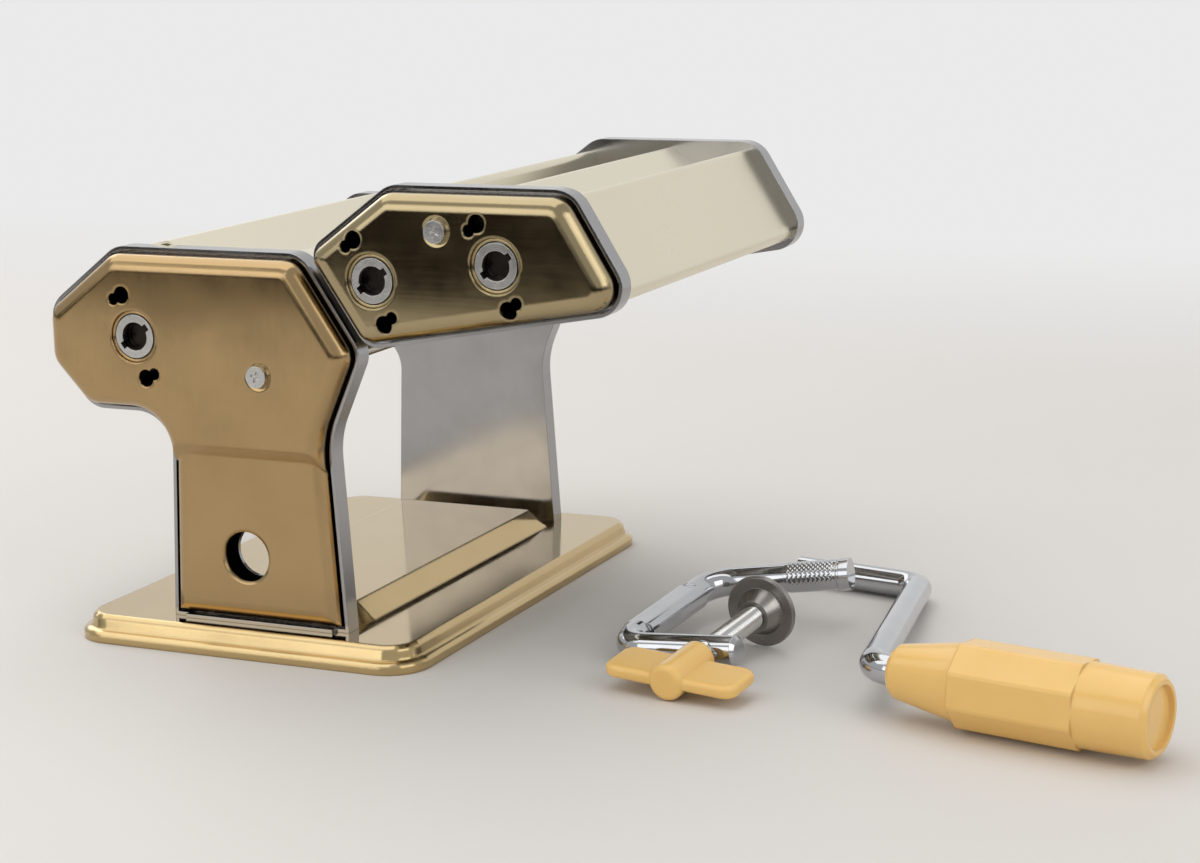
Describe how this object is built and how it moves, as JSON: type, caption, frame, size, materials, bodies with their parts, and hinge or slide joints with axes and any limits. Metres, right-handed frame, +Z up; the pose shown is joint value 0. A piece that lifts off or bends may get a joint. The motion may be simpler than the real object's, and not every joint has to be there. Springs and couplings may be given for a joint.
{
  "type": "pasta roller machine",
  "caption": "Hand-cranked pasta sheet roller on a raised stand with a lift-off double cutter, a thickness dial, a loose crank and a table clamp.",
  "frame": {"origin": "middle of the base on the plane that its lip and feet stand on", "axes": "+X along the rollers towards the thickness dial, -Y towards the cutter side, +Z up"},
  "size_m": [0.2101, 0.3763, 0.1559],
  "materials": {
    "gold_cover": "brown-gold coated polished sheet",
    "champagne_gold": "champagne-gold coated polished sheet",
    "chrome_sheet": "polished chromed sheet",
    "steel": "bright machined steel",
    "chrome": "polished chromed rod",
    "amber": "amber moulded plastic",
    "black": "black moulded plastic",
    "rubber": "soft rubber",
    "bush": "white bearing plastic"
  },
  "bodies": {
    "stand": {"base_plate": "champagne_gold", "base_feet": "rubber", "crank_side_plate": "chrome_sheet", "dial_side_plate": "chrome_sheet", "crank_side_cover": "gold_cover", "dial_side_cover": "gold_cover", "cover_screws": "steel", "leg_bolts": "steel", "tie_rods": "steel", "tie_nuts": "steel", "rear_hood": "champagne_gold", "front_hood": "champagne_gold", "cutter_rails": "steel", "roller_scrapers": "bush", "fixed_roller_bushes": "bush", "drive_bush": "bush", "dial_bush": "bush"},
    "fixed_roller_body": {"fixed_roller": "steel", "fixed_roller_gear": "steel"},
    "gap_carriage": {"moving_roller_blocks": "bush"},
    "moving_roller_body": {"moving_roller": "steel", "moving_roller_gear": "steel"},
    "drive_body": {"drive_socket": "steel", "drive_gear": "steel"},
    "dial_body": {"dial_shaft": "steel"},
    "dial_knob_body": {"dial_knob": "black", "dial_spring": "steel", "dial_pin": "steel"},
    "cutter_body": {"cutter_crank_plate": "chrome_sheet", "cutter_dial_plate": "chrome_sheet", "cutter_crank_cover": "gold_cover", "cutter_dial_cover": "gold_cover", "cutter_screws": "steel", "cutter_tie_rods": "steel", "cutter_front_guide": "champagne_gold", "cutter_middle_guide": "champagne_gold", "cutter_rear_guide": "champagne_gold", "cutter_channels": "steel", "cutter_bushes": "bush"},
    "fine_driven_body": {"fine_cutter_driven": "steel", "fine_driven_gear": "steel", "fine_cutter_socket": "steel"},
    "fine_mate_body": {"fine_cutter_mate": "steel", "fine_mate_gear": "steel"},
    "wide_driven_body": {"wide_cutter_driven": "steel", "wide_driven_gear": "steel", "wide_cutter_socket": "steel"},
    "wide_mate_body": {"wide_cutter_mate": "steel", "wide_mate_gear": "steel"},
    "crank_body": {"crank_rod": "chrome", "crank_cross_pin": "steel"},
    "grip_body": {"crank_grip": "amber"},
    "clamp_body": {"clamp_bar": "chrome"},
    "clamp_foot_body": {"pressure_disc": "steel"},
    "clamp_screw_body": {"clamp_screw": "steel", "wing_knob": "amber"}
  },
  "joints": [
    {"name": "fixed_roller_spin", "type": "hinge", "parent": "stand", "child": "fixed_roller_body", "pos_m": [0, 0.01224, 0.1095], "axis": [1, 0, 0], "continuous": true},
    {"name": "drive_spin", "type": "hinge", "parent": "stand", "child": "drive_body", "pos_m": [0, 0.0365, 0.1041], "axis": [1, 0, 0], "continuous": true},
    {"name": "dial_turn", "type": "hinge", "parent": "stand", "child": "dial_body", "pos_m": [0, -0.01601, 0.1095], "axis": [1, 0, 0], "range_deg": [0, 180]},
    {"name": "gap_slide", "type": "slide", "parent": "stand", "child": "gap_carriage", "axis": [0, 1, 0], "range_m": [0, 0.0025]},
    {"name": "moving_roller_spin", "type": "hinge", "parent": "gap_carriage", "child": "moving_roller_body", "pos_m": [0, -0.01726, 0.1095], "axis": [1, 0, 0], "continuous": true},
    {"name": "dial_pull", "type": "slide", "parent": "dial_body", "child": "dial_knob_body", "axis": [1, 0, 0], "range_m": [0, 0.004], "stiffness_N_per_m": 250},
    {"name": "cutter_lift", "type": "slide", "parent": "stand", "child": "cutter_body", "axis": [0, 0.5547, 0.8321], "range_m": [0, 0.07]},
    {"name": "fine_cutter_spin", "type": "hinge", "parent": "cutter_body", "child": "fine_driven_body", "pos_m": [0, -0.0527, 0.1262], "axis": [1, 0, 0], "continuous": true},
    {"name": "fine_mate_spin", "type": "hinge", "parent": "cutter_body", "child": "fine_mate_body", "pos_m": [0, -0.06991, 0.12876], "axis": [1, 0, 0], "continuous": true},
    {"name": "wide_cutter_spin", "type": "hinge", "parent": "cutter_body", "child": "wide_driven_body", "pos_m": [0, -0.0958, 0.1326], "axis": [1, 0, 0], "continuous": true},
    {"name": "wide_mate_spin", "type": "hinge", "parent": "cutter_body", "child": "wide_mate_body", "pos_m": [0, -0.11301, 0.13516], "axis": [1, 0, 0], "continuous": true},
    {"name": "crank_lift", "type": "slide", "parent": "stand", "child": "crank_body", "axis": [0, 0, 1], "range_m": [0, 0.08]},
    {"name": "grip_spin", "type": "hinge", "parent": "crank_body", "child": "grip_body", "pos_m": [-0.0753, -0.2114, 0.0139], "axis": [-0.1994, -0.9799, 0], "continuous": true},
    {"name": "clamp_lift", "type": "slide", "parent": "stand", "child": "clamp_body", "axis": [0, 0, 1], "range_m": [0, 0.08]},
    {"name": "clamp_foot_travel", "type": "slide", "parent": "clamp_body", "child": "clamp_foot_body", "axis": [0.9873, -0.123, 0.1011], "range_m": [-0.024, 0.0025]},
    {"name": "clamp_screw_turn", "type": "hinge", "parent": "clamp_foot_body", "child": "clamp_screw_body", "pos_m": [-0.0604, -0.15321, 0.00884], "axis": [0.9873, -0.123, 0.1011], "range_deg": [-5760, 600]}
  ],
  "couplings": [
    {"joint": "drive_spin", "follows": "fixed_roller_spin", "ratio": -1.2},
    {"joint": "moving_roller_spin", "follows": "fixed_roller_spin", "ratio": -1},
    {"joint": "dial_turn", "follows": "gap_slide", "rad_per_m": 1256.6},
    {"joint": "fine_mate_spin", "follows": "fine_cutter_spin", "ratio": -1},
    {"joint": "wide_mate_spin", "follows": "wide_cutter_spin", "ratio": -1},
    {"joint": "clamp_screw_turn", "follows": "clamp_foot_travel", "rad_per_m": 4188.8}
  ]
}
